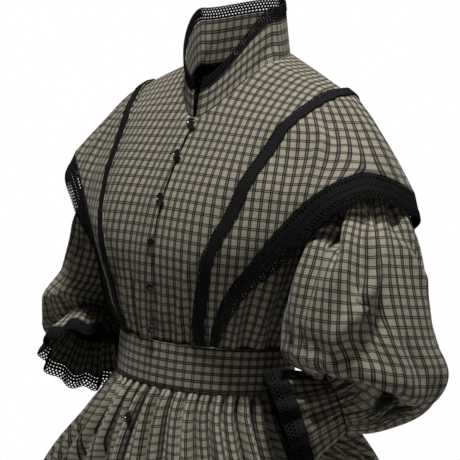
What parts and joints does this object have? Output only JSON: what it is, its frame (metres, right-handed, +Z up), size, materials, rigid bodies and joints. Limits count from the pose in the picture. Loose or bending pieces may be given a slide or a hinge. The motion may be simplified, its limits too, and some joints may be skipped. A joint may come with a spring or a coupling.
{
  "type": "checked day dress",
  "caption": "Floor-length gathered dress in checked cotton with a stand collar, shoulder wings, puffed sleeves, frilled cuffs and black lace edging, worn form, hollow.",
  "frame": {"origin": "middle of the neck opening at the height of the shoulders, where the wearer's neck and shoulders carry the dress", "axes": "+Z up, the front of the dress faces -Y, the wearer's left is +X"},
  "size_m": [0.9274, 0.9918, 1.5042],
  "materials": {
    "checked_cotton": "matte woven cotton, khaki grey ground with black and brown check",
    "black_lace": "matte black cotton lace",
    "black_button": "glossy black"
  },
  "bodies": {
    "root": {"bodice_back": "checked_cotton", "bodice_front_left": "checked_cotton", "bodice_front_right": "checked_cotton", "button_1": "black_button", "button_2": "black_button", "button_3": "black_button", "button_4": "black_button", "button_5": "black_button", "button_6": "black_button", "button_7": "black_button", "collar": "checked_cotton", "collar_lace": "black_lace", "cuff_frill_left": "checked_cotton", "cuff_lace_left": "black_lace", "edge_lace_left": "black_lace", "seam_lace_left": "black_lace", "top_sleeve_left": "checked_cotton", "under_sleeve_left": "checked_cotton", "wing_left": "checked_cotton", "skirt_front_left": "checked_cotton", "skirt_back_left": "checked_cotton", "cuff_frill_right": "checked_cotton", "cuff_lace_right": "black_lace", "edge_lace_right": "black_lace", "seam_lace_right": "black_lace", "top_sleeve_right": "checked_cotton", "under_sleeve_right": "checked_cotton", "wing_right": "checked_cotton", "skirt_front_right": "checked_cotton", "skirt_back_right": "checked_cotton", "waistband": "checked_cotton"}
  },
  "joints": []
}
